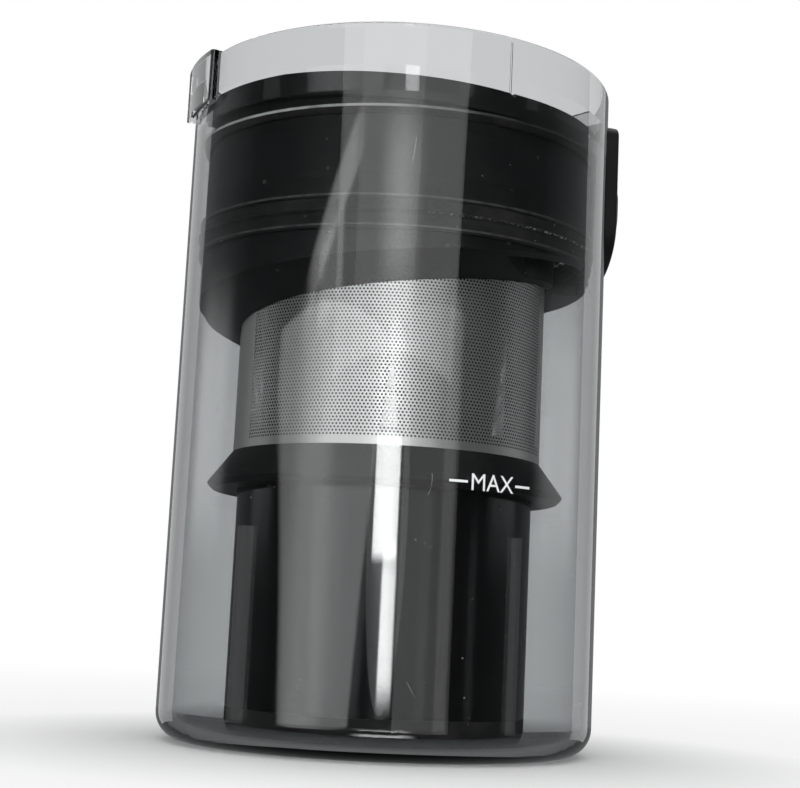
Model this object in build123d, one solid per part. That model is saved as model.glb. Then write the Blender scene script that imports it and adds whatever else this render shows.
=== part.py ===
from build123d import *
import os
from math import atan2, cos, degrees, radians, sin

# Cyclone dust bin: a clear cup that holds a lift-out two-stage cyclone unit.
# Origin at the middle of the cup's base, +Z up, +X out of the dirty-air inlet.
# Lengths are in millimetres. Angles are in degrees, anticlockwise from +X seen from above.

# Clearances
slide_gap = 0.3
seat_gap = 0.3
fit_gap = 0.05
cut_margin = 5.0

# Clear cup
cup_outer_radius = 55.0
cup_wall = 2.4
cup_floor = 3.0
cup_corner = 7.0
rim_depth = 12.55
rim_round = 0.7
socket_round = 0.25
socket_step = 0.9
socket_lift = 2.25
socket_taper = 6.0
lug_angle = 184.0
lug_spread = 22.0
lug_stand = 2.4
lug_height = 13.0
lug_round = 0.8
pocket_spread = 14.0
pocket_depth = 1.0
pocket_height = 6.0
mark_angle = -80.3
mark_spread = 0.5
mark_depth = 0.25
mark_length = 13.5
mark_drop = 1.5

# Inlet window, with its collar and lip seal on the outside of the cup
window_half_width = 12.5
window_height = 18.0
window_corner = 2.0
collar_stand = 1.5
collar_border = 4.5
collar_foot = 7.5
collar_head = 18.2
collar_corner = 2.5
collar_edge_round = 0.8
lip_margin = 1.1
lip_width = 1.9
lip_sink = 0.6
lip_height = 1.2

# Fine dust tube and the skirt above it
tube_radius = 38.0
tube_wall = 2.0
tube_length = 57.2
foot_height = 2.3
foot_sleeve = 3.2
foot_wall = 1.0
skirt_radius = 46.0
skirt_height = 9.5
skirt_tip = 1.4
skirt_deck = 3.0
skirt_socket = 3.2
skirt_lip = 2.4

# Perforated screen on its cage
screen_radius = 39.7
screen_sheet = 0.4
screen_height = 48.7
screen_rows = 5
screen_columns = 24
screen_hole = 1.7
screen_margin = 7.0
seam_angle = -174.0
seam_spread = 15.0
cage_wall = 2.2
cage_windows = 8
cage_bar = 9.0
cage_ring = 4.5

# Second stage: a ring of small cones, its gasket and the plate of outlet tubes
cone_count = 8
cone_ring_radius = 24.0
cone_top_radius = 8.8
cone_tip_radius = 3.6
cone_wall = 1.2
cone_drop = 61.0
cone_head = 10.0
cone_spout = 1.0
cone_plate = 2.5
cone_slot_width = 3.4
cone_slot_height = 6.0
cone_slot_drop = 1.0
gasket_thickness = 1.0
outlet_plate = 3.0
outlet_radius = 4.4
outlet_wall = 1.0
outlet_depth = 14.0
screw_count = 4
screw_radius = 1.5
screw_head_radius = 2.6
screw_head = 1.8
screw_length = 9.5
screw_inset = 3.0
drive_radius = 1.1
drive_depth = 1.0

# Upper housing
ledge_thickness = 5.8
ledge_width = 6.1
plenum_height = 24.0
plenum_inset = 0.4
well_depth = 7.45
well_wall = 5.1
flange_inset = 0.5
neck_inset = 2.4
groove_drop = 6.9
groove_height = 1.85
groove_depth = 2.5
recess_height = 3.0
grain_inset = 1.8
grain_height = 16.7
rib_inset = 0.7
upper_rib = 1.0
lower_rib = 1.2
band_height = 6.2
band_depth = 3.3
body_inset = 1.6
lip_peak = 0.6
edge_round = 0.5
seal_round = 0.25

# Helical ramp under the housing, which leads the air round and down
ramp_pitch = 32.0
ramp_turn = 300.0
ramp_high_angle = -20.0
ramp_cover = 1.6
ramp_fall = 5.2
sector_overlap = 0.5

# Inlet duct through the housing
duct_wall = 1.9
duct_floor = 2.6
duct_roof = 2.5
duct_end_angle = 20.0
mouth_end_angle = -15.0
mouth_outer_angle = -79.0
mouth_inner_angle = -47.0

# Twist-lock cams on the housing's neck, each a level run and a ramp, with a notch that shows where to start
cam_count = 2
cam_end_angle = -75.0
cam_ramp_spread = 66.0
cam_level_spread = 36.0
cam_height = 5.8
cam_rise = 1.85
cam_fall = 2.75
cam_root = 0.6
notch_angle = -77.7
notch_depth = 1.8

# Pleated filter in the housing's well
filter_height = 6.6
filter_rim = 3.6
filter_seal_width = 1.0
filter_seal_height = 4.0
filter_floor = 1.0
grid_bars = 6
grid_bar = 1.6
grip_width = 7.0
grip_height = 2.2
pleat_count = 18
pleat_sheet = 0.7
pleat_margin = 0.6

# Radii that follow from the sizes above
cup_bore = cup_outer_radius - cup_wall
socket_radius = cup_bore + socket_step
seal_radius = cup_bore - slide_gap
flange_radius = cup_bore - flange_inset
rib_radius = cup_bore - rib_inset
neck_radius = cup_bore - neck_inset
body_radius = cup_bore - body_inset
grain_radius = cup_bore - grain_inset
groove_radius = flange_radius - groove_depth
band_radius = rib_radius - band_depth
well_radius = flange_radius - well_wall
screen_bore = screen_radius + slide_gap
cage_radius = screen_radius - screen_sheet - fit_gap
cage_bore = cage_radius - cage_wall
plenum_radius = screen_bore - plenum_inset
ledge_bore = plenum_radius - ledge_width
plate_radius = plenum_radius - seat_gap
tube_bore = tube_radius - tube_wall
screw_circle = plenum_radius - screw_inset
duct_inner_radius = screen_bore + duct_wall
duct_outer_radius = body_radius - duct_wall

# Heights, stacked up from the floor
floor_top = cup_floor
foot_low = floor_top + seat_gap
tube_low = foot_low + foot_height
skirt_low = tube_low + tube_length
skirt_top = skirt_low + skirt_height
deck_low = skirt_low + skirt_socket
deck_top = deck_low + skirt_deck
screen_top = skirt_top + screen_height
ledge_low = screen_top + fit_gap
ledge_top = ledge_low + ledge_thickness
gasket_low = ledge_top + cone_plate
plate_low = gasket_low + gasket_thickness
plate_top = plate_low + outlet_plate
well_floor = ledge_top + plenum_height
unit_top = well_floor + well_depth
cup_height = unit_top + rim_depth
groove_top = unit_top - groove_drop
groove_low = groove_top - groove_height
grain_top = groove_low - recess_height
grain_low = grain_top - grain_height
cam_top = unit_top + cam_rise
cam_low = cam_top - cam_height
band_top = grain_low - upper_rib
band_low = band_top - band_height
rib_low = band_low - lower_rib
ramp_high = screen_top - ramp_cover
ramp_low = ramp_high - ramp_pitch * ramp_turn / 360
duct_low = ramp_high + duct_floor
duct_top = well_floor - duct_roof
window_top = duct_top
window_low = window_top - window_height
filter_low = well_floor + seat_gap
filter_top = filter_low + filter_height
cone_tip_low = ledge_top - cone_drop
cone_spacing = 360 / cone_count


# Turned solid from (radius, height) corners, each with a rounding radius if it has a third value
def turned(*corners):
    points = [(corner[0], 0, corner[1]) for corner in corners]
    rounds = [corner[2] if len(corner) > 2 else 0 for corner in corners]
    outline = FilletPolyline(*points, radius=rounds, close=True)
    return revolve(make_face(outline), Axis.Z)


# Plain ring between two radii and two heights
def ring(inner, outer, low, high):
    return turned((inner, low), (outer, low), (outer, high), (inner, high))


# Part of such a ring, from one angle on over a spread
def ring_sector(inner, outer, low, high, start, spread):
    corners = [(inner, 0, low), (outer, 0, low), (outer, 0, high), (inner, 0, high)]
    section = make_face(Polyline(*corners, close=True))
    return Rot(0, 0, start) * revolve(section, Axis.Z, spread)


# Upright rod or hole at a place on a circle
def rod(radius, low, high, circle, angle):
    place = Pos(circle * cos(radians(angle)), circle * sin(radians(angle)), low)
    return place * Cylinder(radius, high - low, align=(Align.CENTER, Align.CENTER, Align.MIN))


# Point in plan at a radius and an angle
def in_plan(radius, angle):
    return radius * cos(radians(angle)), radius * sin(radians(angle))


# Slab that faces +X, with a round lower end and rounded upper corners
def arched_slab(half_width, low, high, corner, near, far):
    bend = low + half_width
    foot = ThreePointArc((-half_width, bend), (0, low), (half_width, bend))
    corners = [(half_width, bend), (half_width, high), (-half_width, high), (-half_width, bend)]
    head = FilletPolyline(*corners, radius=corner)
    shape = make_face(foot.edges() + head.edges())
    return extrude(Plane.YZ.offset(near) * shape, far - near)


# The window's outline, grown all round
def window_slab(grow, near, far):
    half_width = window_half_width + grow
    return arched_slab(half_width, window_low - grow, window_top + grow, window_corner + grow, near, far)


# Clear cup: floor, wall, rim socket, catch lug, alignment mark and inlet window
def make_dust_cup():
    socket_low = unit_top + socket_lift
    cup = turned(
        (0, 0),
        (cup_outer_radius, 0, cup_corner),
        (cup_outer_radius, cup_height, rim_round),
        (socket_radius, cup_height, socket_round),
        (socket_radius, socket_low),
        (cup_bore, socket_low - socket_taper),
        (cup_bore, floor_top, cup_corner - cup_wall),
        (0, floor_top),
    )
    lug_low = cup_height - lug_height
    lug_outer = cup_outer_radius + lug_stand
    start = lug_angle - lug_spread / 2
    lug = ring_sector(cup_outer_radius - cup_wall / 2, lug_outer, lug_low, cup_height, start, lug_spread)
    upright = lug.edges().filter_by(Axis.Z).sort_by(lambda edge: edge.center().X ** 2 + edge.center().Y ** 2)
    lug = fillet(upright[-2:], lug_round)
    pocket_inner = cup_outer_radius + (lug_stand - pocket_depth) / 2
    pocket_start = lug_angle - pocket_spread / 2
    pocket_top = lug_low + pocket_height
    pocket_low = lug_low - cut_margin
    pocket_outer = pocket_inner + pocket_depth
    lug -= ring_sector(pocket_inner, pocket_outer, pocket_low, pocket_top, pocket_start, pocket_spread)
    mark_top = cup_height - mark_drop
    mark_inner = cup_outer_radius - mark_depth
    mark_outer = cup_outer_radius + cut_margin
    mark_start = mark_angle - mark_spread / 2
    mark = ring_sector(mark_inner, mark_outer, mark_top - mark_length, mark_top, mark_start, mark_spread)
    window = window_slab(0, cup_bore - 2 * cut_margin, cup_outer_radius + cut_margin)
    return cup + lug - mark - window


# Black collar round the inlet window, flat outside and hollowed to the cup
def make_inlet_collar():
    face = cup_outer_radius + collar_stand
    half_width = window_half_width + collar_border
    near = cup_bore - 2 * cut_margin
    collar = arched_slab(
        half_width, window_low - collar_foot, window_top + collar_head, collar_corner, near, face
    )
    front = collar.faces().sort_by(Axis.X)[-1]
    collar = fillet(front.edges(), collar_edge_round)
    collar -= Cylinder(cup_outer_radius + fit_gap, 4 * cup_height)
    collar -= window_slab(0, near, face + cut_margin)
    return collar - lip_ring(face - lip_sink, face + cut_margin, fit_gap)


# Ring that follows the window's outline on the collar's face
def lip_ring(near, far, grow):
    outer = window_slab(lip_margin + lip_width + grow, near, far)
    inner = window_slab(lip_margin - grow, near - cut_margin, far + cut_margin)
    return outer - inner


# Rubber lip seated in the collar's face
def make_inlet_seal():
    low = cup_outer_radius + collar_stand - lip_sink + fit_gap
    return lip_ring(low, low + lip_height, 0)


# Everything below the helical ramp: a ruled screw surface, drawn downwards, and the flat after it
def below_ramp():
    slope = ramp_fall / (body_radius - screen_bore)
    start = ramp_high_angle - ramp_turn
    rise = ramp_high - ramp_low
    edges = []
    for radius in (screen_bore - cut_margin, body_radius + cut_margin):
        height = ramp_low + slope * (radius - screen_bore)
        edges.append(Rot(0, 0, start) * Helix(ramp_pitch, rise, radius, center=(0, 0, height)))
    ramp = Face.make_surface_from_curves(edges[0].edge(), edges[1].edge())
    screw_cut = Solid.extrude(ramp, (0, 0, -2 * rise))
    flat_start = ramp_high_angle - sector_overlap
    flat_spread = 360 - ramp_turn + 2 * sector_overlap
    inner = screen_bore - cut_margin
    outer = body_radius + cut_margin
    flat_cut = ring_sector(inner, outer, ramp_low - 2 * cut_margin, ramp_high, flat_start, flat_spread)
    return screw_cut, flat_cut


# Air way from the window, round inside the housing's wall and out under the ramp's lip
def inlet_duct():
    outline = [
        in_plan(duct_inner_radius - cut_margin, mouth_inner_angle),
        in_plan(screen_bore, mouth_inner_angle),
        in_plan(body_radius, mouth_outer_angle),
        in_plan(2 * body_radius, mouth_outer_angle),
        in_plan(2 * body_radius, mouth_end_angle),
        in_plan(duct_inner_radius - cut_margin, mouth_end_angle),
    ]
    mouth = extrude(make_face(Polyline(*outline, close=True)), 2 * duct_top)
    mouth &= ring(duct_inner_radius, duct_outer_radius, ramp_low, duct_top)
    run = duct_end_angle - mouth_end_angle + sector_overlap
    start = mouth_end_angle - sector_overlap
    chamber = ring_sector(duct_inner_radius, duct_outer_radius, duct_low, duct_top, start, run)
    window = window_slab(0, duct_outer_radius - cut_margin, cup_outer_radius)
    return mouth, chamber, window


# One twist-lock cam: a level run, then a ramp that leads down to the cam's end
def lock_cam(end_angle):
    inner = neck_radius - cam_root
    level_start = end_angle - cam_ramp_spread - cam_level_spread
    level = ring_sector(inner, flange_radius, cam_low, cam_top, level_start, cam_level_spread)
    reach = flange_radius * sin(radians(cam_ramp_spread / 2))
    tilt = degrees(atan2(cam_fall / 2, reach))
    middle = (cam_low + cam_top - cam_fall) / 2
    width = 4 * cup_outer_radius
    slab = Rot(-tilt, 0, 0) * Box(width, width, cam_height * cos(radians(tilt)))
    slab = Rot(0, 0, end_angle - cam_ramp_spread / 2) * Pos(0, 0, middle) * slab
    ramp_start = end_angle - cam_ramp_spread
    ramp = ring_sector(inner, flange_radius, cam_low - cam_height, cam_top, ramp_start, cam_ramp_spread)
    return level + (ramp & slab)


# V notch through the rim beside a cam's end
def start_notch():
    half = cam_rise + notch_depth
    low = unit_top - notch_depth
    shape = make_face(Polyline((0, low), (half, low + half), (-half, low + half), close=True))
    notch = extrude(Plane.YZ.offset(well_radius - cut_margin) * shape, 2 * cut_margin + neck_radius)
    return Rot(0, 0, notch_angle) * notch


# Upper housing: neck with cams, seal grooves, ribs, ramp, inlet duct, filter well and cone ledge
def make_upper_housing():
    housing = turned(
        (screen_bore, ramp_low - cut_margin),
        (body_radius, ramp_low - cut_margin),
        (body_radius, rib_low),
        (rib_radius, rib_low),
        (rib_radius, band_low),
        (band_radius, band_low),
        (band_radius, band_top),
        (rib_radius, band_top),
        (rib_radius, grain_low),
        (grain_radius, grain_low),
        (grain_radius, grain_top),
        (neck_radius, grain_top),
        (neck_radius, groove_low),
        (groove_radius, groove_low),
        (groove_radius, groove_top),
        (neck_radius, groove_top),
        (neck_radius, unit_top, edge_round),
        (well_radius, unit_top, edge_round),
        (well_radius, well_floor),
        (plenum_radius, well_floor),
        (plenum_radius, ledge_top),
        (ledge_bore, ledge_top),
        (ledge_bore, ledge_low),
        (screen_bore, ledge_low),
    )
    for cut in (*below_ramp(), *inlet_duct()):
        housing -= cut
    for index in range(cam_count):
        housing += lock_cam(cam_end_angle + index * 360 / cam_count)
    return housing - start_notch() - screw_holes(screw_radius + fit_gap)


# Rubber lip ring in the groove round the neck
def make_flange_seal():
    inner = groove_radius + fit_gap
    low = groove_low + fit_gap
    high = groove_top - fit_gap
    middle = (seal_radius + inner) / 2
    return turned(
        (inner, low),
        (middle, low),
        (seal_radius, high - lip_peak),
        (seal_radius, high),
        (inner, high),
    )


# Rubber band with a raised lip, between the housing's two ribs
def make_wall_seal():
    inner = band_radius + fit_gap
    low = band_low + fit_gap
    high = band_top - fit_gap
    face = rib_radius - seat_gap
    middle = (low + high) / 2
    return turned(
        (inner, low),
        (face, low),
        (face, middle - lip_peak),
        (seal_radius, middle),
        (face, middle + lip_peak),
        (face, high),
        (inner, high),
    )


# Perforated sleeve, its fine holes drawn as fewer, larger ones, with a plain seam
def make_mesh_screen():
    inner = screen_radius - screen_sheet
    sleeve = ring(inner, screen_radius, skirt_top, screen_top)
    pitch = (screen_height - 2 * screen_margin) / (screen_rows - 1)
    step = (360 - seam_spread) / screen_columns
    holes = []
    for row in range(screen_rows):
        height = skirt_top + screen_margin + row * pitch
        stagger = 0.25 if row % 2 else 0.75
        for column in range(screen_columns):
            angle = seam_angle + seam_spread / 2 + (column + stagger) * step
            outward = (cos(radians(angle)), sin(radians(angle)), 0)
            plane = Plane(origin=(0, 0, height), x_dir=(0, 0, 1), z_dir=outward)
            hole = extrude(plane.offset(inner - cut_margin) * RegularPolygon(screen_hole, 6), 2 * cut_margin)
            holes.append(hole)
    return sleeve - holes


# Cage that carries the screen, on the skirt's deck
def make_screen_frame():
    cage = ring(cage_bore, cage_radius, deck_top, screen_top)
    step = 360 / cage_windows
    spread = step - cage_bar / radians(cage_radius)
    low = skirt_top + cage_ring
    high = screen_top - cage_ring
    outer = cage_radius + cut_margin
    for index in range(cage_windows):
        cage -= ring_sector(cage_bore - cut_margin, outer, low, high, index * step, spread)
    return cage


# Skirt that keeps settled dust from rising, with the deck that the cone tips pass
def make_dust_skirt():
    socket = tube_bore - skirt_lip
    skirt = turned(
        (tube_bore - fit_gap, deck_low),
        (tube_bore - fit_gap, skirt_low - skirt_socket),
        (socket, skirt_low - skirt_socket),
        (socket, deck_low),
        (0, deck_low),
        (0, deck_top),
        (cage_radius + screen_sheet + fit_gap, deck_top),
        (cage_radius + screen_sheet + fit_gap, skirt_top),
        (screen_radius + seat_gap, skirt_top),
        (skirt_radius, skirt_low + skirt_tip, edge_round),
        (skirt_radius - skirt_tip, skirt_low, edge_round),
        (tube_radius + seat_gap, skirt_low),
        (tube_radius + seat_gap, deck_low),
    )
    low = deck_low - cut_margin
    high = deck_top + cut_margin
    taper = (cone_top_radius - cone_tip_radius) / (cone_drop - cone_head)
    hole = cone_tip_radius + taper * (deck_top - cone_tip_low) + seat_gap
    for index in range(cone_count):
        skirt -= rod(hole, low, high, cone_ring_radius, index * cone_spacing)
    return skirt


# Open tube that stands on the cup's floor and keeps the fine dust apart
def make_fine_dust_tube():
    return turned(
        (tube_bore, foot_low + fit_gap),
        (tube_bore + foot_wall, foot_low + fit_gap),
        (tube_bore + foot_wall, tube_low + foot_sleeve),
        (tube_radius, tube_low + foot_sleeve),
        (tube_radius, deck_low - fit_gap),
        (tube_bore, deck_low - fit_gap),
    )


# Rubber sleeve round the tube's lower end
def make_tube_seal():
    inner = tube_bore + foot_wall + fit_gap
    high = tube_low + foot_sleeve - fit_gap
    return turned(
        (inner, foot_low),
        (tube_radius, foot_low, seal_round),
        (tube_radius, high),
        (inner, high),
    )


# Screw holes through the plates and into the ledge
def screw_holes(radius):
    low = plate_top - screw_length - fit_gap
    high = plate_top + cut_margin
    step = 360 / screw_count
    return [rod(radius, low, high, screw_circle, (index + 0.5) * step) for index in range(screw_count)]


# One small cone as a turned solid: a straight head on a taper
def cone_solid(tip, top, low, high):
    head_low = ledge_top - cone_head
    return turned((0, low), (tip, low), (tip, cone_tip_low), (top, head_low), (top, high), (0, high))


# Small cones hung from one plate, each with a slot that lets the air in sideways
def make_cone_pack():
    pack = rod(plate_radius, ledge_top, gasket_low, 0, 0)
    bore_tip = cone_tip_radius - cone_wall
    bore_top = cone_top_radius - cone_wall
    spout_low = cone_tip_low - cone_spout
    shell = cone_solid(cone_tip_radius, cone_top_radius, spout_low, ledge_top + cone_plate / 2)
    hollow = cone_solid(bore_tip, bore_top, cone_tip_low - cut_margin, gasket_low + cut_margin)
    slot_middle = bore_top - cone_slot_width
    slot_top = ledge_top - cone_slot_drop
    slot = Pos(slot_middle, 0, slot_top) * Box(
        cone_slot_width, 2 * cone_top_radius, cone_slot_height, align=(Align.CENTER, Align.MIN, Align.MAX)
    )
    for index in range(cone_count):
        place = Rot(0, 0, index * cone_spacing) * Pos(cone_ring_radius, 0, 0)
        pack += place * shell
        pack -= place * hollow
        pack -= place * slot
    return pack - screw_holes(screw_radius + fit_gap)


# Gasket between the cones and the plate above them
def make_cone_gasket():
    gasket = rod(plate_radius, gasket_low, plate_low, 0, 0)
    for index in range(cone_count):
        hole = cone_top_radius - cone_wall
        gasket -= rod(hole, gasket_low, plate_low, cone_ring_radius, index * cone_spacing)
    return gasket - screw_holes(screw_radius + fit_gap)


# Plate of outlet tubes, one down the middle of each cone
def make_outlet_plate():
    plate = rod(plate_radius, plate_low, plate_top, 0, 0)
    tube_end = ledge_top - outlet_depth
    for index in range(cone_count):
        angle = index * cone_spacing
        plate += rod(outlet_radius, tube_end, plate_low, cone_ring_radius, angle)
        plate -= rod(outlet_radius - outlet_wall, tube_end, plate_top, cone_ring_radius, angle)
    return plate - screw_holes(screw_radius + fit_gap)


# Pan-head screws that clamp the plates to the ledge
def make_plate_screws():
    screws = []
    step = 360 / screw_count
    for index in range(screw_count):
        angle = (index + 0.5) * step
        head_top = plate_top + screw_head
        shank = rod(screw_radius, plate_top - screw_length, plate_top, screw_circle, angle)
        head = rod(screw_head_radius, plate_top, head_top, screw_circle, angle)
        head = fillet(head.edges().sort_by(Axis.Z)[-1], screw_head / 2)
        across, along = in_plan(screw_circle, angle)
        drive_floor = Pos(across, along, head_top - drive_depth)
        drive = extrude(drive_floor * RegularPolygon(drive_radius, 6), screw_head)
        screws.append(shank + head - drive)
    return Compound(children=screws)


# Filter frame: rim, floor grid and a bar to lift it by
def make_filter_frame():
    outer = well_radius - slide_gap - filter_seal_width
    inner = outer - filter_rim
    frame = ring(inner, outer, filter_low, filter_top)
    bar_length = 2 * (inner + filter_rim / 2)
    for index in range(grid_bars):
        bar = Box(bar_length, grid_bar, filter_floor, align=(Align.CENTER, Align.CENTER, Align.MIN))
        frame += Pos(0, 0, filter_low) * Rot(0, 0, index * 180 / grid_bars) * bar
    grip = Box(bar_length, grip_width, grip_height, align=(Align.CENTER, Align.CENTER, Align.MAX))
    return frame + Pos(0, 0, filter_top) * grip


# Folded filter sheet inside the frame
def make_filter_pleats():
    reach = well_radius - slide_gap - filter_seal_width - filter_rim - pleat_margin
    low = filter_low + filter_floor + fit_gap
    high = filter_top - grip_height - fit_gap
    pitch = 2 * reach / pleat_count
    upper = []
    for index in range(2 * pleat_count + 1):
        upper.append((-reach + index * pitch / 2, high if index % 2 else low + pleat_sheet))
    lower = [(across, height - pleat_sheet) for across, height in reversed(upper)]
    sheet = extrude(Plane.XZ * make_face(Polyline(*upper, *lower, close=True)), reach, both=True)
    return sheet & rod(reach, low - pleat_sheet, high, 0, 0)


# Rubber ring round the filter frame
def make_filter_seal():
    outer = well_radius - slide_gap
    inner = outer - filter_seal_width + fit_gap
    low = filter_low + (filter_height - filter_seal_height) / 2
    return turned(
        (inner, low),
        (outer, low, seal_round),
        (outer, low + filter_seal_height, seal_round),
        (inner, low + filter_seal_height),
    )


makers = {
    "dust_cup": make_dust_cup,
    "inlet_collar": make_inlet_collar,
    "inlet_seal": make_inlet_seal,
    "upper_housing": make_upper_housing,
    "flange_seal": make_flange_seal,
    "wall_seal": make_wall_seal,
    "mesh_screen": make_mesh_screen,
    "screen_frame": make_screen_frame,
    "dust_skirt": make_dust_skirt,
    "fine_dust_tube": make_fine_dust_tube,
    "tube_seal": make_tube_seal,
    "cone_pack": make_cone_pack,
    "cone_gasket": make_cone_gasket,
    "outlet_plate": make_outlet_plate,
    "plate_screws": make_plate_screws,
    "filter_frame": make_filter_frame,
    "filter_pleats": make_filter_pleats,
    "filter_seal": make_filter_seal,
}

os.makedirs("parts", exist_ok=True)
for name, make in makers.items():
    export_step(make(), f"parts/{name}.step")
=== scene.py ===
import math
import random

import bpy
from mathutils import Matrix, Quaternion, Vector


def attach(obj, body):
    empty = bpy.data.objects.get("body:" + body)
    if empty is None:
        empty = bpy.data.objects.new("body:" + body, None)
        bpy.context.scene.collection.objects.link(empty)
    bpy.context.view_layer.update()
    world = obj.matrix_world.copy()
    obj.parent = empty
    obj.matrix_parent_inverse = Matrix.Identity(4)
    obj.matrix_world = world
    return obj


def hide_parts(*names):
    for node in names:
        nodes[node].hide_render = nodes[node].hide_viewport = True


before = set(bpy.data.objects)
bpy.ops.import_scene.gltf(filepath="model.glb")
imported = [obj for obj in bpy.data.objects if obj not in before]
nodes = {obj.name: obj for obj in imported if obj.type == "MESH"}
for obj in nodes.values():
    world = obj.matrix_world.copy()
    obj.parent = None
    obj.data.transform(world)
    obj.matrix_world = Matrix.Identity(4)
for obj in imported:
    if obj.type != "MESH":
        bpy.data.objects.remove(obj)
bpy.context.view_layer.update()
scene = bpy.context.scene
scene.view_settings.view_transform = "Standard"
print("frame loaded:", len(nodes), "solids")

mm = 0.001
# the side of the cup that faces the camera, in degrees from +X
frontBearing = -107.0


def onWall(radius, along, height):
    return radius * math.cos(along), radius * math.sin(along), height


def addNode(tree, kind, **settings):
    node = tree.nodes.new(kind)
    for key, value in settings.items():
        setattr(node, key, value)
    return node


def setInputs(node, **values):
    for key, value in values.items():
        node.inputs[key.replace("_", " ")].default_value = value
    return node


# a link where the value comes from a node, else a plain value
def feed(tree, socket, value):
    if hasattr(value, "is_linked"):
        tree.links.new(value, socket)
    else:
        socket.default_value = value


def mathNode(tree, operation, first, second=None, clamp=False):
    node = addNode(tree, "ShaderNodeMath", operation=operation, use_clamp=clamp)
    feed(tree, node.inputs[0], first)
    if second is not None:
        feed(tree, node.inputs[1], second)
    return node.outputs[0]


def rampNode(tree, value, low, high, outLow=0.0, outHigh=1.0):
    node = addNode(tree, "ShaderNodeMapRange", clamp=True)
    tree.links.new(value, node.inputs["Value"])
    for key, number in (("From Min", low), ("From Max", high), ("To Min", outLow), ("To Max", outHigh)):
        feed(tree, node.inputs[key], number)
    return node.outputs["Result"]


# the places of the colour sockets on a mix node
mixPlaces = {"first": 6, "second": 7, "result": 2}


def mixColours(tree, factor, first, second, blend="MIX"):
    node = addNode(tree, "ShaderNodeMix", data_type="RGBA", blend_type=blend)
    feed(tree, node.inputs["Factor"], factor)
    feed(tree, node.inputs[mixPlaces["first"]], first)
    feed(tree, node.inputs[mixPlaces["second"]], second)
    return node.outputs[mixPlaces["result"]]


def blendShaders(tree, factor, first, second):
    node = addNode(tree, "ShaderNodeMixShader")
    tree.links.new(factor, node.inputs["Fac"])
    tree.links.new(first.outputs[0], node.inputs[1])
    tree.links.new(second.outputs[0], node.inputs[2])
    return node


def newGroup(name, inputs, outputs):
    group = bpy.data.node_groups.new(name, "ShaderNodeTree")
    for label, value in inputs:
        socket = group.interface.new_socket(label, in_out="INPUT", socket_type="NodeSocketFloat")
        socket.default_value = value
    for label in outputs:
        group.interface.new_socket(label, in_out="OUTPUT", socket_type="NodeSocketFloat")
    return group, addNode(group, "NodeGroupInput"), addNode(group, "NodeGroupOutput")


def placeGroup(tree, group, **values):
    node = addNode(tree, "ShaderNodeGroup", node_tree=group)
    return setInputs(node, **values)


def objectPlace(tree):
    return addNode(tree, "ShaderNodeTexCoord").outputs["Object"]


def noiseAt(tree, place, scale, detail=2.0, roughness=0.5):
    node = addNode(tree, "ShaderNodeTexNoise")
    setInputs(node, Detail=detail, Roughness=roughness)
    tree.links.new(place, node.inputs["Vector"])
    feed(tree, node.inputs["Scale"], scale)
    return node.outputs["Fac"]


# how far a place lies towards one side
def reachTowards(tree, place, bearing):
    node = addNode(tree, "ShaderNodeVectorMath", operation="DOT_PRODUCT")
    tree.links.new(place, node.inputs[0])
    node.inputs[1].default_value = onWall(1.0, math.radians(bearing), 0.0)
    return node.outputs["Value"]


# ray depths count whole bounces, so half a bounce parts none from one
halfBounce = 0.5


def firstSight(tree, rays):
    bounces = mathNode(tree, "ADD", rays.outputs["Glossy Depth"], rays.outputs["Diffuse Depth"])
    return mathNode(tree, "LESS_THAN", bounces, halfBounce)


def mirrorSight(tree, rays):
    return mathNode(tree, "GREATER_THAN", rays.outputs["Glossy Depth"], halfBounce)


# moulded surface: fine grain for bump, slow patches for gloss
grainPlan = {"fine": {"detail": 3.0, "roughness": 0.6}, "patch": {"scale": 70.0, "detail": 3.0, "roughness": 0.55},
             "share": 0.5, "middle": 0.5}


def buildMouldGrain(plan):
    group, start, end = newGroup("mouldGrain", [("Scale", 4000.0), ("Roughness", 0.4), ("Spread", 0.1)],
                                 ["Height", "Roughness"])
    place = objectPlace(group)
    fine = noiseAt(group, place, start.outputs["Scale"], **plan["fine"])
    patch = noiseAt(group, place, **plan["patch"])
    blend = mathNode(group, "ADD", mathNode(group, "MULTIPLY", fine, plan["share"]),
                     mathNode(group, "MULTIPLY", patch, plan["share"]))
    offset = mathNode(group, "MULTIPLY", mathNode(group, "SUBTRACT", blend, plan["middle"]), start.outputs["Spread"])
    shine = mathNode(group, "ADD", start.outputs["Roughness"], offset, clamp=True)
    group.links.new(fine, end.inputs["Height"])
    group.links.new(shine, end.inputs["Roughness"])
    return group


# settled dust: a thin film in patches, and single specks
dustPlan = {"patch": {"scale": 55.0, "detail": 5.0, "roughness": 0.65}, "patchEdge": (0.45, 0.75),
            "speckSize": (0.80, 1.0, 0.0, 0.16)}


def buildDustFilm(plan):
    group, start, end = newGroup("dustFilm", [("Film", 0.1), ("Specks", 0.3), ("Speck Scale", 420.0)], ["Mask"])
    place = objectPlace(group)
    patch = rampNode(group, noiseAt(group, place, **plan["patch"]), *plan["patchEdge"])
    film = mathNode(group, "MULTIPLY", patch, start.outputs["Film"])
    cells = addNode(group, "ShaderNodeTexVoronoi", feature="F1")
    group.links.new(place, cells.inputs["Vector"])
    group.links.new(start.outputs["Speck Scale"], cells.inputs["Scale"])
    parts = addNode(group, "ShaderNodeSeparateColor")
    group.links.new(cells.outputs["Color"], parts.inputs["Color"])
    size = rampNode(group, parts.outputs["Red"], *plan["speckSize"])
    speck = mathNode(group, "LESS_THAN", cells.outputs["Distance"], size)
    specks = mathNode(group, "MULTIPLY", speck, start.outputs["Specks"])
    group.links.new(mathNode(group, "ADD", film, specks, clamp=True), end.inputs["Mask"])
    return group


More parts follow.
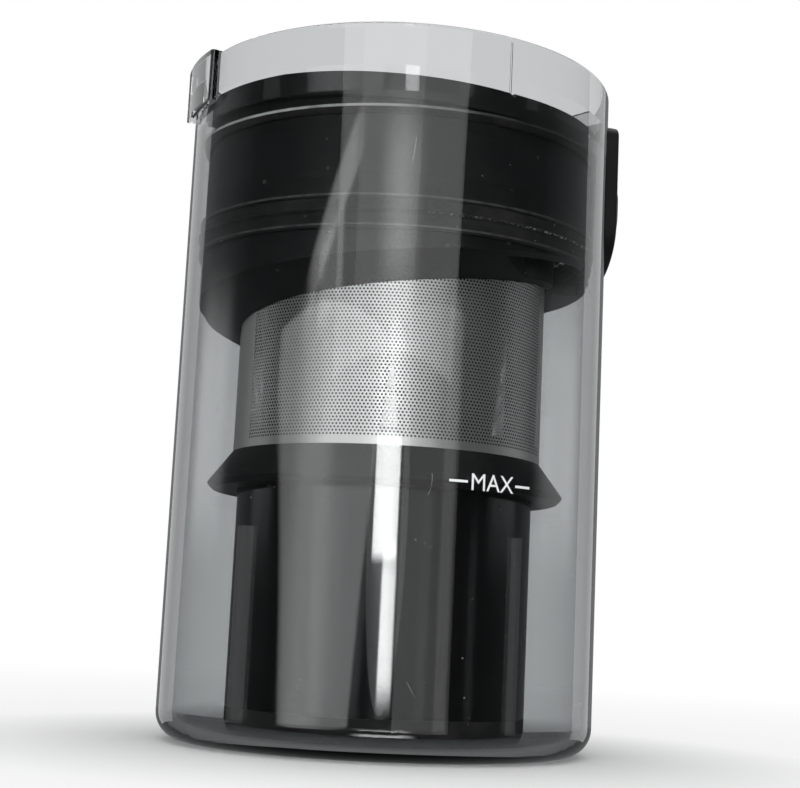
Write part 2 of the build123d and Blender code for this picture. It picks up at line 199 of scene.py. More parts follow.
# hairline wipe marks that run along a polished wall, and faint smears
hairPlan = {"stretch": (900.0, 900.0, 26.0), "tilt": (0.06, 0.04, 0.0),
            "hair": {"scale": 1.0, "detail": 2.0, "roughness": 0.5}, "hairEdge": (0.69, 0.74),
            "smear": {"scale": 38.0, "detail": 4.0, "roughness": 0.6}, "smearEdge": (0.5, 0.8)}


def buildHairMarks(plan):
    group, start, end = newGroup("hairMarks", [("Roughness", 0.03), ("Smear", 0.06), ("Scratch", 0.1)], ["Roughness"])
    place = objectPlace(group)
    stretch = addNode(group, "ShaderNodeMapping")
    setInputs(stretch, Scale=plan["stretch"], Rotation=plan["tilt"])
    group.links.new(place, stretch.inputs["Vector"])
    hair = rampNode(group, noiseAt(group, stretch.outputs["Vector"], **plan["hair"]), *plan["hairEdge"])
    smear = rampNode(group, noiseAt(group, place, **plan["smear"]), *plan["smearEdge"])
    total = mathNode(group, "ADD", mathNode(group, "MULTIPLY", smear, start.outputs["Smear"]),
                     mathNode(group, "MULTIPLY", hair, start.outputs["Scratch"]))
    group.links.new(mathNode(group, "ADD", total, start.outputs["Roughness"], clamp=True), end.inputs["Roughness"])
    return group


# soft band between two heights
def buildHeightBand():
    group, start, end = newGroup("heightBand", [("Low", 0.0), ("High", 0.1), ("Blur", 0.0004)], ["Mask"])
    parts = addNode(group, "ShaderNodeSeparateXYZ")
    group.links.new(objectPlace(group), parts.inputs[0])
    height = parts.outputs["Z"]
    lowEnd = mathNode(group, "ADD", start.outputs["Low"], start.outputs["Blur"])
    highEnd = mathNode(group, "SUBTRACT", start.outputs["High"], start.outputs["Blur"])
    rise = rampNode(group, height, start.outputs["Low"], lowEnd)
    fall = rampNode(group, height, highEnd, start.outputs["High"], 1.0, 0.0)
    group.links.new(mathNode(group, "MULTIPLY", rise, fall), end.inputs["Mask"])
    return group


mouldGrain = buildMouldGrain(grainPlan)
dustFilm = buildDustFilm(dustPlan)
hairMarks = buildHairMarks(hairPlan)
heightBand = buildHeightBand()
print("shared effects ready")


def newMaterial(name):
    material = bpy.data.materials.new(name)
    material.use_nodes = True
    tree = material.node_tree
    tree.nodes.clear()
    shader = addNode(tree, "ShaderNodeBsdfPrincipled")
    output = addNode(tree, "ShaderNodeOutputMaterial")
    tree.links.new(shader.outputs[0], output.inputs["Surface"])
    return material, tree, shader, output


def bumpInto(tree, shader, height, strength, distance):
    bump = addNode(tree, "ShaderNodeBump")
    setInputs(bump, Strength=strength, Distance=distance)
    tree.links.new(height, bump.inputs["Height"])
    tree.links.new(bump.outputs["Normal"], shader.inputs["Normal"])


# pale line on one level of a lip, thicker on one side and broken up in places: real dust on some lips, a painted
# highlight on the ribs
edgePlan = {"blur": 0.0001, "patch": {"detail": 3.0, "roughness": 0.6}}


def edgeMask(tree, edge):
    band = placeGroup(tree, heightBand, Low=edge["low"], High=edge["high"], Blur=edgePlan["blur"])
    place = objectPlace(tree)
    share = rampNode(tree, reachTowards(tree, place, edge["side"]), *edge["reach"])
    broken = rampNode(tree, noiseAt(tree, place, edge["patchScale"], **edgePlan["patch"]), *edge["patches"])
    return mathNode(tree, "MULTIPLY", mathNode(tree, "MULTIPLY", band.outputs["Mask"], share), broken)


def grainAndDust(tree, look):
    grain = placeGroup(tree, mouldGrain, Scale=look["grainScale"], Roughness=look["roughness"], Spread=look["spread"])
    dust = placeGroup(tree, dustFilm, Film=look["film"], Specks=look["specks"], Speck_Scale=look["speckScale"])
    colour = mixColours(tree, dust.outputs["Mask"], look["colour"], look["dustColour"])
    return grain, dust, colour


# black mouldings and rubber: grain, gloss patches and a little dust
mouldPlan = {"ior": 1.5, "shine": 0.5, "coat": 0.0, "dustDull": 0.35, "bandBlur": 0.0003, "plainGrain": 0.05}


def mouldedMaterial(look):
    material, tree, shader, _ = newMaterial(look["name"])
    setInputs(shader, IOR=mouldPlan["ior"], Specular_IOR_Level=look.get("shine", mouldPlan["shine"]),
              Coat_Weight=look.get("coat", mouldPlan["coat"]))
    grain, dust, colour = grainAndDust(tree, look)
    for edge in look.get("edgeDustAndHighlight", []):
        colour = mixColours(tree, edgeMask(tree, edge), colour, edge["colour"])
    tree.links.new(colour, shader.inputs["Base Color"])
    dull = mathNode(tree, "MULTIPLY", dust.outputs["Mask"], mouldPlan["dustDull"])
    tree.links.new(mathNode(tree, "ADD", grain.outputs["Roughness"], dull, clamp=True), shader.inputs["Roughness"])
    height = grain.outputs["Height"]
    if "grainBand" in look:
        low, high = look["grainBand"]
        band = placeGroup(tree, heightBand, Low=low, High=high, Blur=mouldPlan["bandBlur"])
        share = rampNode(tree, band.outputs["Mask"], 0.0, 1.0, mouldPlan["plainGrain"], 1.0)
        height = mathNode(tree, "MULTIPLY", height, share)
    bumpInto(tree, shader, height, look["bump"], look["bumpDepth"])
    return material


# pale rib faces, lighter on the front side: a painted highlight where the rib edges catch the light
ribPaintedHighlight = {"side": -112.0, "reach": (0.018, 0.050, 0.18, 1.0), "patchScale": 260.0,
           "patches": (0.35, 0.60, 0.35, 1.0), "colour": (0.14, 0.14, 0.136, 1)}
housingLook = {"name": "housingBlack", "colour": (0.009, 0.0092, 0.0096, 1), "roughness": 0.36, "spread": 0.12,
               "grainScale": 3600.0, "bump": 0.5, "bumpDepth": 0.00012, "film": 0.06, "specks": 0.35,
               "speckScale": 260.0, "dustColour": (0.22, 0.21, 0.19, 1), "grainBand": (0.1347, 0.1465), "shine": 0.38,
               "edgeDustAndHighlight": [{**ribPaintedHighlight, "low": 0.12925, "high": 0.12985},
                            {**ribPaintedHighlight, "low": 0.12205, "high": 0.12265}]}
trimLook = {"name": "trimBlack", "colour": (0.007, 0.007, 0.0073, 1), "roughness": 0.34, "spread": 0.12,
            "grainScale": 2600.0, "bump": 0.2, "bumpDepth": 0.00006, "film": 0.05, "specks": 0.3,
            "speckScale": 320.0, "dustColour": (0.22, 0.21, 0.19, 1), "shine": 0.38}
tubeLook = {"name": "tubeGloss", "colour": (0.006, 0.006, 0.0065, 1), "roughness": 0.13, "spread": 0.06,
            "grainScale": 900.0, "bump": 0.05, "bumpDepth": 0.00004, "film": 0.03, "specks": 0.3,
            "speckScale": 260.0, "dustColour": (0.20, 0.19, 0.17, 1), "coat": 0.3}
sealLook = {"name": "sealRubber", "colour": (0.011, 0.011, 0.011, 1), "roughness": 0.62, "spread": 0.15,
            "grainScale": 5200.0, "bump": 0.35, "bumpDepth": 0.00006, "film": 0.22, "specks": 0.4,
            "speckScale": 520.0, "dustColour": (0.24, 0.23, 0.21, 1), "shine": 0.4}
# pale line along the lip's upper edge, lighter towards one side
lipLook = {**sealLook, "name": "lipRubber",
           "edgeDustAndHighlight": [{"low": 0.15065, "high": 0.15140, "side": -158.0, "reach": (0.012, 0.048, 0.03, 1.0),
                         "patchScale": 120.0, "patches": (0.30, 0.55, 0.5, 1.0), "colour": (0.78, 0.78, 0.75, 1)}]}
bandLook = {**sealLook, "name": "bandRubber",
            "edgeDustAndHighlight": [{"low": 0.12545, "high": 0.12605, "side": -50.0, "reach": (0.030, 0.050, 0.05, 1.0),
                          "patchScale": 1500.0, "patches": (0.54, 0.62, 0.0, 1.0), "colour": (0.70, 0.69, 0.66, 1)}]}


# clear polished wall: glass with wipe marks, and lamps reach what stands inside
def clearMaterial(look):
    material, tree, shader, output = newMaterial(look["name"])
    setInputs(shader, Base_Color=look["tint"], Metallic=0.0, Transmission_Weight=1.0, IOR=look["ior"])
    marks = placeGroup(tree, hairMarks, Roughness=look["roughness"], Smear=look["smear"], Scratch=look["scratch"])
    tree.links.new(marks.outputs["Roughness"], shader.inputs["Roughness"])
    lampPass = addNode(tree, "ShaderNodeBsdfTransparent")
    lampPass.inputs["Color"].default_value = look["shade"]
    rays = addNode(tree, "ShaderNodeLightPath")
    choose = blendShaders(tree, rays.outputs["Is Shadow Ray"], shader, lampPass)
    tree.links.new(choose.outputs[0], output.inputs["Surface"])
    return material


clearLook = {"name": "clearWall", "tint": (0.60, 0.615, 0.62, 1), "ior": 1.47, "roughness": 0.0, "smear": 0.03,
             "scratch": 0.05, "shade": (0.9, 0.91, 0.91, 1)}


# satin steel with a fine grain and a little dust
def steelMaterial(look):
    material, tree, shader, _ = newMaterial(look["name"])
    setInputs(shader, Metallic=1.0)
    grain, _, colour = grainAndDust(tree, look)
    tree.links.new(colour, shader.inputs["Base Color"])
    tree.links.new(grain.outputs["Roughness"], shader.inputs["Roughness"])
    bumpInto(tree, shader, grain.outputs["Height"], look["bump"], look["bumpDepth"])
    return material


screenLook = {"name": "screenSteel", "colour": (0.93, 0.92, 0.90, 1), "roughness": 0.38, "spread": 0.14,
              "grainScale": 1500.0, "bump": 0.08, "bumpDepth": 0.00003, "film": 0.12, "specks": 0.3,
              "speckScale": 700.0, "dustColour": (0.30, 0.29, 0.27, 1)}
screwLook = {"name": "screwSteel", "colour": (0.56, 0.56, 0.56, 1), "roughness": 0.3, "spread": 0.16,
             "grainScale": 2400.0, "bump": 0.1, "bumpDepth": 0.00003, "film": 0.1, "specks": 0.2,
             "speckScale": 700.0, "dustColour": (0.24, 0.23, 0.21, 1)}


# matt paper, print and lint: fibres and a slight tone change
fibrePlan = {"shine": 0.3, "spread": 0.1, "tone": {"detail": 4.0, "roughness": 0.6}, "toneEdge": (0.3, 0.7)}


def fibreMaterial(look):
    material, tree, shader, _ = newMaterial(look["name"])
    setInputs(shader, Specular_IOR_Level=fibrePlan["shine"])
    grain = placeGroup(tree, mouldGrain, Scale=look["grainScale"], Roughness=look["roughness"],
                       Spread=fibrePlan["spread"])
    cloud = noiseAt(tree, objectPlace(tree), look["toneScale"], **fibrePlan["tone"])
    tone = rampNode(tree, cloud, *fibrePlan["toneEdge"])
    tree.links.new(mixColours(tree, tone, look["colour"], look["toneColour"]), shader.inputs["Base Color"])
    tree.links.new(grain.outputs["Roughness"], shader.inputs["Roughness"])
    bumpInto(tree, shader, grain.outputs["Height"], look["bump"], look["bumpDepth"])
    return material


paperLook = {"name": "filterPaper", "colour": (0.80, 0.79, 0.75, 1), "toneColour": (0.70, 0.69, 0.64, 1),
             "grainScale": 2200.0, "toneScale": 160.0, "roughness": 0.85, "bump": 0.5, "bumpDepth": 0.0001}
printLook = {"name": "markWhite", "colour": (0.86, 0.88, 0.88, 1), "toneColour": (0.78, 0.80, 0.80, 1),
             "grainScale": 3000.0, "toneScale": 900.0, "roughness": 0.45, "bump": 0.1, "bumpDepth": 0.00003}
lintLook = {"name": "lintGrey", "colour": (0.62, 0.62, 0.60, 1), "toneColour": (0.45, 0.45, 0.44, 1),
            "grainScale": 4000.0, "toneScale": 300.0, "roughness": 0.9, "bump": 0.2, "bumpDepth": 0.00003}

housingBlack = mouldedMaterial(housingLook)
trimBlack = mouldedMaterial(trimLook)
tubeGloss = mouldedMaterial(tubeLook)
sealRubber = mouldedMaterial(sealLook)
lipRubber = mouldedMaterial(lipLook)
bandRubber = mouldedMaterial(bandLook)
clearWall = clearMaterial(clearLook)
screenSteel = steelMaterial(screenLook)
screwSteel = steelMaterial(screwLook)
filterPaper = fibreMaterial(paperLook)
markWhite = fibreMaterial(printLook)
lintGrey = fibreMaterial(lintLook)
print("materials ready")

finishOf = {"dust_cup": clearWall, "inlet_collar": trimBlack, "inlet_seal": sealRubber,
            "upper_housing": housingBlack, "flange_seal": lipRubber, "wall_seal": bandRubber,
            "mesh_screen": screenSteel, "screen_frame": trimBlack, "dust_skirt": trimBlack,
            "fine_dust_tube": tubeGloss, "tube_seal": sealRubber, "cone_pack": trimBlack,
            "cone_gasket": sealRubber, "outlet_plate": trimBlack, "plate_screws": screwSteel,
            "filter_frame": trimBlack, "filter_pleats": filterPaper, "filter_seal": sealRubber}
for name, material in finishOf.items():
    nodes[name].data.materials.clear()
    nodes[name].data.materials.append(material)


def newPiece(name, points, faces, material, body, smooth=True):
    mesh = bpy.data.meshes.new(name)
    mesh.from_pydata(points, [], faces)
    mesh.update()
    mesh.materials.append(material)
    for polygon in mesh.polygons:
        polygon.use_smooth = smooth
    piece = bpy.data.objects.new(name, mesh)
    scene.collection.objects.link(piece)
    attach(piece, body)
    return piece


def thickenSheet(piece, thickness):
    thicken = piece.modifiers.new("sheet", "SOLIDIFY")
    thicken.thickness = thickness
    thicken.offset = 0.0


# perforated sleeve: staggered holes, plain edges and a plain seam
screenPlan = {"radius": 39.7 * mm, "low": 72.3 * mm, "high": 121.0 * mm, "holesFrom": 74.2 * mm, "rows": 57,
              "columns": 260, "corners": 6, "seamAngle": -174.0, "seamSpread": 15.0, "holeShare": 0.31,
              "edgeStand": 0.05 * mm, "edgeSink": 0.2 * mm, "firstRow": 0.6, "pastLastRow": 0.2, "meetSteps": 12,
              "edgeLap": 0.25, "seamLap": 0.35, "edgeSteps": 180, "seamSteps": 14}


def buildScreen(plan):
    radius = plan["radius"]
    seamHalf = math.radians(plan["seamSpread"]) / 2
    firstAngle = math.radians(plan["seamAngle"]) + seamHalf
    span = 2 * math.pi - 2 * seamHalf
    pitch = span * radius / (plan["columns"] + 0.5)
    rowStep = pitch * math.sqrt(3) / 2
    corner = pitch / math.sqrt(3)
    corners = plan["corners"]
    turns = [math.radians((k + 0.5) * 360 / corners) for k in range(corners)]
    reach = plan["holeShare"] * pitch
    points, faces, known = [], [], {}

    # neighbouring cells share their corners
    def pointAt(across, height):
        key = (round(across / pitch * plan["meetSteps"]), round(height / pitch * plan["meetSteps"]))
        if key not in known:
            known[key] = len(points)
            points.append(onWall(radius, firstAngle + across / radius, height))
        return known[key]

    for row in range(plan["rows"]):
        height = plan["holesFrom"] + (row + plan["firstRow"]) * rowStep
        for column in range(plan["columns"]):
            across = (column + 0.5 + 0.5 * (row % 2)) * pitch
            outer = [pointAt(across + corner * math.cos(t), height + corner * math.sin(t)) for t in turns]
            first = len(points)
            for t in turns:
                points.append(onWall(radius, firstAngle + (across + reach * math.cos(t)) / radius,
                                     height + reach * math.sin(t)))
            for k in range(corners):
                n = (k + 1) % corners
                faces.append((outer[k], outer[n], first + n, first + k))
    topOfHoles = plan["holesFrom"] + (plan["rows"] + plan["pastLastRow"]) * rowStep

    # plain strip: lower edge, outer face and upper edge, each with its own points so that the corners stay crisp
    def band(startAngle, sweep, low, high, steps):
        inside, outside = radius - plan["edgeSink"], radius + plan["edgeStand"]
        for near, far in (((inside, low), (outside, low)), ((outside, low), (outside, high)),
                          ((outside, high), (inside, high))):
            first = len(points)
            for step in range(steps + 1):
                angle = startAngle + sweep * step / steps
                points.extend((onWall(near[0], angle, near[1]), onWall(far[0], angle, far[1])))
            for step in range(steps):
                a = first + 2 * step
                faces.append((a, a + 2, a + 3, a + 1))

    lap = plan["edgeLap"] * pitch
    band(0.0, 2 * math.pi, plan["low"], plan["holesFrom"] + lap, plan["edgeSteps"])
    band(0.0, 2 * math.pi, topOfHoles - lap, plan["high"], plan["edgeSteps"])
    edge = plan["seamLap"] * pitch / radius
    band(math.radians(plan["seamAngle"]) - seamHalf - edge, 2 * (seamHalf + edge), plan["holesFrom"], topOfHoles,
         plan["seamSteps"])
    print("screen holes:", plan["rows"] * plan["columns"])
    return points, faces


screenPoints, screenFaces = buildScreen(screenPlan)
screenSleeve = newPiece("screenSleeve", screenPoints, screenFaces, screenSteel, "cyclone_unit")
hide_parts("mesh_screen")

# fill-level mark printed on the cup: a word between two dashes
markPlan = {"radius": 55.0 * mm, "stand": 0.02 * mm, "centreAngle": frontBearing, "text": "MAX", "curveSteps": 2,
            "word": (19.40, 30.52, 61.62, 65.45), "dashes": ((13.94, 18.45, 63.48), (31.07, 35.35, 63.32)),
            "dashWidth": 0.58, "dashSteps": 8, "thickness": 0.03 * mm}


def buildMark(plan):
    letters = bpy.data.curves.new("markWord", "FONT")
    letters.body = plan["text"]
    letters.resolution_u = plan["curveSteps"]
    holder = bpy.data.objects.new("markWord", letters)
    scene.collection.objects.link(holder)
    bpy.context.view_layer.update()
    mesh = holder.evaluated_get(bpy.context.evaluated_depsgraph_get()).to_mesh()
    flat = [(v.co.x, v.co.y) for v in mesh.vertices]
    polygons = [tuple(p.vertices) for p in mesh.polygons]
    bpy.data.objects.remove(holder)
    bpy.data.curves.remove(letters)
    left, right, low, high = plan["word"]
    xs, ys = [p[0] for p in flat], [p[1] for p in flat]
    spots = []
    for x, y in flat:
        spots.append((left + (x - min(xs)) / (max(xs) - min(xs)) * (right - left),
                      low + (y - min(ys)) / (max(ys) - min(ys)) * (high - low)))
    half, steps = plan["dashWidth"] / 2, plan["dashSteps"]
    for start, stop, level in plan["dashes"]:
        for step in range(steps + 1):
            across = start + (stop - start) * step / steps
            spots += [(across, level - half), (across, level + half)]
        base = len(spots) - 2 * (steps + 1)
        polygons += [(base + 2 * k, base + 2 * k + 2, base + 2 * k + 3, base + 2 * k + 1) for k in range(steps)]
    turn = math.radians(plan["centreAngle"])
    points = [onWall(plan["radius"] + plan["stand"], turn + across * mm / plan["radius"], level * mm)
              for across, level in spots]
    return points, polygons


markPoints, markFaces = buildMark(markPlan)
fillMark = newPiece("fillMark", markPoints, markFaces, markWhite, "cup", smooth=False)
thickenSheet(fillMark, markPlan["thickness"])

# dark plug pushed up into the lug's pocket, with a bevelled foot: painted shade, a dark piece standing in for the
# shadow inside the pocket
lugShadePlan = {"inner": 55.76 * mm, "outer": 56.64 * mm, "low": 157.95 * mm, "high": 163.7 * mm, "bevel": 0.3 * mm,
            "angle": 184.0, "spread": 13.4, "steps": 12}


def buildLugShade(plan):
    inner, outer, low, high, bevel = (plan[key] for key in ("inner", "outer", "low", "high", "bevel"))
    profile = [(inner + bevel, low), (outer - bevel, low), (outer, low + bevel), (outer, high), (inner, high),
               (inner, low + bevel)]
    count = len(profile)
    points, faces = [], []
    for step in range(plan["steps"] + 1):
        angle = math.radians(plan["angle"] + plan["spread"] * (step / plan["steps"] - 0.5))
        points.extend(onWall(radius, angle, height) for radius, height in profile)
    for step in range(plan["steps"]):
        a, b = step * count, (step + 1) * count
        faces.extend((a + k, a + (k + 1) % count, b + (k + 1) % count, b + k) for k in range(count))
    faces.append(tuple(range(count))[::-1])
    faces.append(tuple(range(len(points) - count, len(points))))
    return points, faces


# the dark plug is painted shade for the lug's pocket
lugShadePoints, lugShadeFaces = buildLugShade(lugShadePlan)
newPiece("lugShadePlug", lugShadePoints, lugShadeFaces, trimBlack, "cup", smooth=False)

# dust left on the inside of the clear wall: small flat flakes and a few fine hairs
lintPlan = {"radius": 52.6 * mm, "stand": -0.03 * mm, "specks": 150, "speckSize": (0.10 * mm, 0.28 * mm),
            "corners": 7, "ragged": (0.6, 1.0), "hairs": 18, "hairLength": (1.5 * mm, 6.0 * mm),
            "hairWidth": 0.07 * mm, "hairSteps": 6, "leanSpread": 0.5, "bend": (-0.3, 0.3), "low": 9 * mm,
            "high": 148 * mm, "seed": 7, "thickness": 0.04 * mm}


def buildLint(plan):
    pick = random.Random(plan["seed"])
    radius = plan["radius"] + plan["stand"]
    around = 2 * math.pi
    points, faces = [], []

    def addFlat(angle, height, outline):
        first = len(points)
        points.extend(onWall(radius, angle + across / radius, height + rise) for across, rise in outline)
        faces.append(tuple(range(first, first + len(outline))))

    for _ in range(plan["specks"]):
        size = pick.uniform(*plan["speckSize"]) * pick.uniform(*plan["ragged"])
        turns = sorted(pick.uniform(0, around) for _ in range(plan["corners"]))
        outline = [(size * pick.uniform(*plan["ragged"]) * math.cos(t),
                    size * pick.uniform(*plan["ragged"]) * math.sin(t)) for t in turns]
        addFlat(pick.uniform(0, around), pick.uniform(plan["low"], plan["high"]), outline)
    half, steps = plan["hairWidth"] / 2, plan["hairSteps"]
    for _ in range(plan["hairs"]):
        angle, height = pick.uniform(0, around), pick.uniform(plan["low"], plan["high"])
        length = pick.uniform(*plan["hairLength"])
        lean, bend = pick.gauss(0, plan["leanSpread"]), pick.uniform(*plan["bend"])
        spine = []
        for step in range(steps + 1):
            along = length * (step / steps - 0.5)
            spine.append((along * math.sin(lean) + bend * along * along / length, along * math.cos(lean)))
        for near, far in zip(spine, spine[1:]):
            addFlat(angle, height, [(near[0] - half, near[1]), (near[0] + half, near[1]),
                                    (far[0] + half, far[1]), (far[0] - half, far[1])])
    return points, faces


lintPoints, lintFaces = buildLint(lintPlan)
wallLint = newPiece("wallLint", lintPoints, lintFaces, lintGrey, "cup", smooth=False)
thickenSheet(wallLint, lintPlan["thickness"])

# folded filter sheet: rounded pleats trimmed to a circle
pleatPlan = {"reach": 41.3 * mm, "low": 152.4 * mm, "high": 155.3 * mm, "folds": 18, "perFold": 16, "across": 12,
             "trim": 0.995, "crease": 0.8, "sheet": 0.3 * mm}


def buildPleats(plan):
    stations = plan["folds"] * plan["perFold"]
    end = plan["trim"] * plan["reach"]
    middle, swing = (plan["low"] + plan["high"]) / 2, (plan["high"] - plan["low"]) / 2
    points, faces = [], []
    for step in range(stations + 1):
        x = -end + 2 * end * step / stations
        half = math.sqrt(plan["reach"] ** 2 - x ** 2)
        wave = -math.cos(2 * math.pi * step / plan["perFold"])
        height = middle + swing * math.copysign(abs(wave) ** plan["crease"], wave)
        for k in range(plan["across"] + 1):
            points.append((x, half * (2 * k / plan["across"] - 1), height))
    width = plan["across"] + 1
    for step in range(stations):
        for k in range(plan["across"]):
            a = step * width + k
            faces.append((a, a + width, a + width + 1, a + 1))
    return points, faces


pleatPoints, pleatFaces = buildPleats(pleatPlan)
pleatedSheet = newPiece("pleatedSheet", pleatPoints, pleatFaces, filterPaper, "pre_filter")
thickenSheet(pleatedSheet, pleatPlan["sheet"])
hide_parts("filter_pleats")
print("added pieces ready")

# camera: the photograph's own place, found from the cup's outline
viewPlan = {"place": (-5.30, -401.9, 30.56), "yaw": 0.0202, "pitch": 0.1480, "roll": 0.0472, "turn": -17.0,
            "focalPixels": 1547.6, "imageWidth": 800, "sensor": 36.0, "clip": (0.01, 100.0)}


def placeCamera(plan):
    yaw, pitch, roll = plan["yaw"], plan["pitch"], plan["roll"]
    ahead = Vector((math.sin(yaw) * math.cos(pitch), math.cos(yaw) * math.cos(pitch), math.sin(pitch)))
    side = Vector((math.cos(yaw), -math.sin(yaw), 0.0))
    above = side.cross(ahead)
    right = math.cos(roll) * side + math.sin(roll) * above
    top = -math.sin(roll) * side + math.cos(roll) * above
    turn = Matrix.Rotation(math.radians(plan["turn"]), 3, "Z")
    right, top, ahead = turn @ right, turn @ top, turn @ ahead
    data = bpy.data.cameras.new("photoView")
    data.sensor_width = plan["sensor"]
    data.lens = plan["focalPixels"] / plan["imageWidth"] * plan["sensor"]
    data.clip_start, data.clip_end = plan["clip"]
    camera = bpy.data.objects.new("photoView", data)
    scene.collection.objects.link(camera)
    placed = Matrix((right, top, -ahead)).transposed().to_4x4()
    placed.translation = turn @ Vector(plan["place"]) * mm
    camera.matrix_world = placed
    scene.camera = camera


placeCamera(viewPlan)

# pale floor that turns white with the distance from the part
floorPlan = {"size": 8.0, "drop": 0.0002, "colour": (0.90, 0.90, 0.90, 1), "tone": (0.88, 0.88, 0.88, 1),
             "mottle": {"scale": 3.0, "detail": 3.0, "roughness": 0.5}, "roughness": 0.9, "shine": 0.1,
             "nearLift": (0.055, 0.12, 0.0, 0.72), "farLift": (0.11, 0.50, 0.0, 0.28)}


def buildFloor(plan):
    half = plan["size"] / 2
    mesh = bpy.data.meshes.new("floor")
    mesh.from_pydata([(-half, -half, 0), (half, -half, 0), (half, half, 0), (-half, half, 0)], [], [(0, 1, 2, 3)])
    floor = bpy.data.objects.new("floor", mesh)
    floor.location.z = -plan["drop"]
    scene.collection.objects.link(floor)
    material, tree, shader, output = newMaterial("paleFloor")
    setInputs(shader, Roughness=plan["roughness"], Specular_IOR_Level=plan["shine"])
    place = objectPlace(tree)
    pale = mixColours(tree, noiseAt(tree, place, **plan["mottle"]), plan["colour"], plan["tone"])
    tree.links.new(pale, shader.inputs["Base Color"])
    reach = addNode(tree, "ShaderNodeVectorMath", operation="LENGTH")
    tree.links.new(place, reach.inputs[0])
    near = rampNode(tree, reach.outputs["Value"], *plan["nearLift"])
    lift = mathNode(tree, "ADD", near, rampNode(tree, reach.outputs["Value"], *plan["farLift"]), clamp=True)
    rays = addNode(tree, "ShaderNodeLightPath")
    white = addNode(tree, "ShaderNodeEmission")
    lifted = blendShaders(tree, mathNode(tree, "MULTIPLY", lift, firstSight(tree, rays)), shader, white)
    # reflections look past the floor to the lower ends of the lamps
    beyond = addNode(tree, "ShaderNodeBsdfTransparent")
    choose = blendShaders(tree, mirrorSight(tree, rays), lifted, beyond)
    tree.links.new(choose.outputs[0], output.inputs["Surface"])
    mesh.materials.append(material)


buildFloor(floorPlan)

# room light: white where it is seen directly or through the clear wall, dimmer in reflections
roomPlan = {"shown": (1.0, 1.0, 1.0, 1), "room": (0.96, 0.98, 1.0, 1), "fill": (0.20, 0.20, 0.20, 1),
            "backBearing": 73.0, "mirrored": (-0.1, 0.7, 0.02, 0.20)}


def buildRoom(plan):
    world = bpy.data.worlds.new("room")
    world.use_nodes = True
    tree = world.node_tree
    tree.nodes.clear()
    output = addNode(tree, "ShaderNodeOutputWorld")
    rays = addNode(tree, "ShaderNodeLightPath")
    through = mathNode(tree, "MULTIPLY", rays.outputs["Is Transmission Ray"], firstSight(tree, rays))
    seen = mathNode(tree, "MAXIMUM", rays.outputs["Is Camera Ray"], through)
    outward = addNode(tree, "ShaderNodeTexCoord").outputs["Generated"]
    mirrored = rampNode(tree, reachTowards(tree, outward, plan["backBearing"]), *plan["mirrored"])
    level = mixColours(tree, mirrorSight(tree, rays), plan["fill"], mirrored)
    tinted = mixColours(tree, 1.0, level, plan["room"], blend="MULTIPLY")
    colour = mixColours(tree, seen, tinted, plan["shown"])
    back = addNode(tree, "ShaderNodeBackground")
    tree.links.new(colour, back.inputs["Color"])
    tree.links.new(back.outputs[0], output.inputs["Surface"])
    scene.world = world


buildRoom(roomPlan)

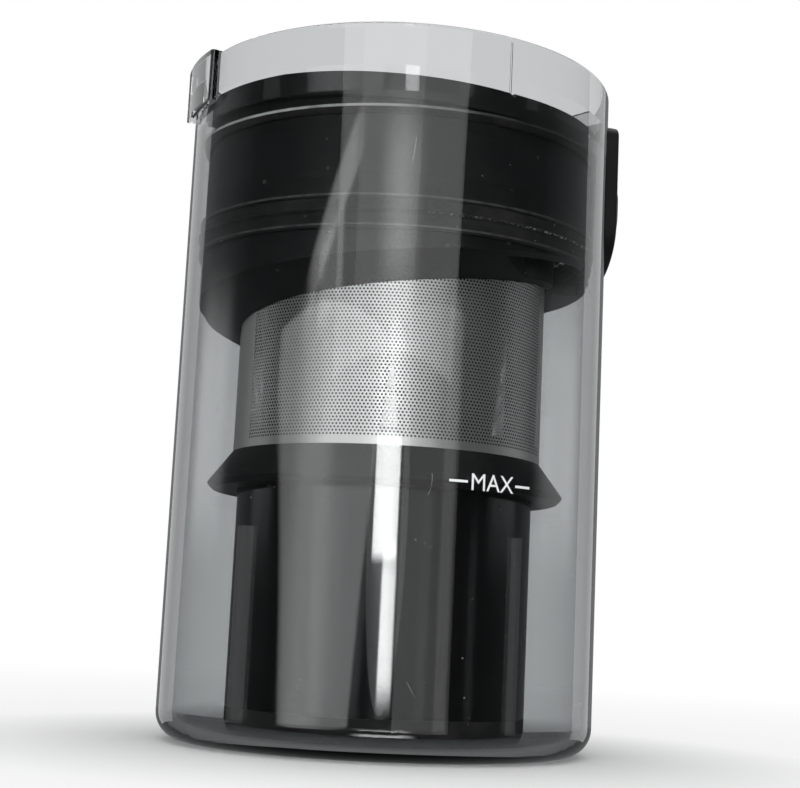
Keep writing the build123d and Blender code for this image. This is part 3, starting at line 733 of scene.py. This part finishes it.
# studio lamps: bearing in degrees from the camera side towards its right, lengths in metres; roll turns a lamp in its
# own plane, fade is the share of its width and height that dies away, taper squeezes it at its foot and its top, and
# inGlass says whether it shows through the clear wall
lampAim = {"target": (0.0, 0.0, 0.09), "ellipseShare": 0.785, "evenSides": (1.0, 1.0)}
lampPlan = [
    {"name": "frontPanel", "bearing": 0.5, "away": 1.30, "height": 0.64, "size": (1.68, 0.66), "glow": 1.15},
    {"name": "frontGlow", "bearing": -6.0, "away": 1.28, "height": 0.62, "size": (0.74, 0.70), "glow": 0.45},
    {"name": "panelEdge", "bearing": -33.5, "away": 1.24, "height": 0.450, "size": (0.08, 0.70), "glow": 2.2,
     "roll": -72.0, "fade": (0.5, 0.5)},
    {"name": "panelCorner", "bearing": -34.0, "away": 1.24, "height": 0.385, "size": (0.30, 0.12), "glow": 1.7,
     "roll": 10.0, "fade": (0.3, 0.5)},
    {"name": "keySheen", "bearing": 0.5, "away": 1.27, "height": 0.470, "size": (0.62, 0.26), "glow": 2.2,
     "fade": (1.0, 0.7)},
    {"name": "leftPanel", "bearing": -31.5, "away": 1.28, "height": 0.14, "size": (1.36, 0.44), "glow": 1.60,
     "fade": (0.12, 0.02), "taper": (1.55, 0.8)},
    {"name": "leftSheen", "bearing": -37.5, "away": 1.27, "height": 0.14, "size": (0.66, 0.44), "glow": 1.15,
     "fade": (0.8, 0.02)},
    {"name": "baseGlint", "bearing": 4.0, "away": 1.10, "height": -0.35, "size": (0.70, 0.16), "glow": 9.0,
     "fade": (0.6, 0.6)},
    {"name": "rightPanel", "bearing": 22.0, "away": 1.28, "height": 0.14, "size": (0.64, 0.44), "glow": 0.70},
    {"name": "rightEdge", "bearing": 31.5, "away": 1.24, "height": 0.14, "size": (0.13, 0.44), "glow": 0.45},
    {"name": "keyWide", "bearing": 0.5, "away": 1.24, "height": 0.155, "size": (0.29, 0.135), "glow": 14.0,
     "fade": (0.2, 0.25)},
    {"name": "keyTop", "bearing": 1.0, "away": 1.25, "height": 0.250, "size": (0.24, 0.22), "glow": 2.0,
     "fade": (0.9, 0.6)},
    {"name": "keyTail", "bearing": 3.4, "away": 1.23, "height": 0.030, "size": (0.18, 0.18), "glow": 12.0,
     "fade": (0.4, 0.5)},
    {"name": "keyHalo", "bearing": 1.5, "away": 1.26, "height": 0.14, "size": (0.44, 0.40), "glow": 0.6,
     "round": True},
    {"name": "leftStrip", "bearing": -74.0, "away": 1.20, "height": 0.02, "size": (0.22, 0.20), "glow": 0.55},
    {"name": "rightStrip", "bearing": 71.0, "away": 1.20, "height": 0.02, "size": (0.14, 0.20), "glow": 0.50},
    {"name": "sideLeft", "bearing": -107.0, "away": 1.30, "height": 0.24, "size": (0.80, 0.36), "glow": 0.9,
     "fade": (0.6, 0.7)},
    {"name": "sideRight", "bearing": 101.0, "away": 1.30, "height": 0.24, "size": (1.00, 0.36), "glow": 0.8,
     "fade": (0.6, 0.7)},
    {"name": "overhead", "bearing": 10.0, "away": 0.15, "height": 1.60, "size": (2.20, 2.20), "glow": 1.1},
    {"name": "backLeft", "bearing": -140.0, "away": 1.40, "height": 0.40, "size": (0.70, 1.50), "glow": 0.7,
     "inGlass": False},
    {"name": "backRight", "bearing": 135.0, "away": 1.40, "height": 0.40, "size": (0.70, 1.50), "glow": 0.7,
     "inGlass": False},
]


# a softbox whose glow dies away towards its sides and ends, and which may narrow downwards
def softenLamp(lamp, fade, taper):
    lamp.use_nodes = True
    tree = lamp.node_tree
    across = addNode(tree, "ShaderNodeSeparateXYZ")
    tree.links.new(addNode(tree, "ShaderNodeNewGeometry").outputs["Parametric"], across.inputs[0])
    narrow = rampNode(tree, across.outputs["Y"], 0.0, 1.0, *taper)
    half, level = 0.5, 1.0
    for axis, share, stretch in (("X", fade[0], narrow), ("Y", fade[1], 1.0)):
        off = mathNode(tree, "ABSOLUTE", mathNode(tree, "SUBTRACT", across.outputs[axis], half))
        off = mathNode(tree, "MULTIPLY", off, stretch)
        ramp = rampNode(tree, off, half - share * half, half, 1.0, 0.0)
        ramp.node.interpolation_type = "SMOOTHSTEP"
        level = mathNode(tree, "MULTIPLY", ramp, level)
    tree.links.new(level, tree.nodes["Emission"].inputs["Strength"])


def buildLamp(plan):
    lamp = bpy.data.lights.new(plan["name"], "AREA")
    lamp.shape = "ELLIPSE" if plan.get("round") else "RECTANGLE"
    lamp.size, lamp.size_y = plan["size"]
    share = lampAim["ellipseShare"] if plan.get("round") else 1.0
    lamp.energy = plan["glow"] * math.pi * lamp.size * lamp.size_y * share
    holder = bpy.data.objects.new(plan["name"], lamp)
    holder.location = onWall(plan["away"], math.radians(plan["bearing"] + frontBearing), plan["height"])
    aim = (Vector(lampAim["target"]) - holder.location).to_track_quat("-Z", "Y")
    spin = Quaternion((0, 0, 1), math.radians(plan.get("roll", 0.0)))
    holder.rotation_euler = (aim @ spin).to_euler()
    holder.visible_camera = False
    holder.visible_transmission = plan.get("inGlass", True)
    if "fade" in plan:
        softenLamp(lamp, plan["fade"], plan.get("taper", lampAim["evenSides"]))
    scene.collection.objects.link(holder)


for plan in lampPlan:
    buildLamp(plan)
print("camera, floor and lamps ready")
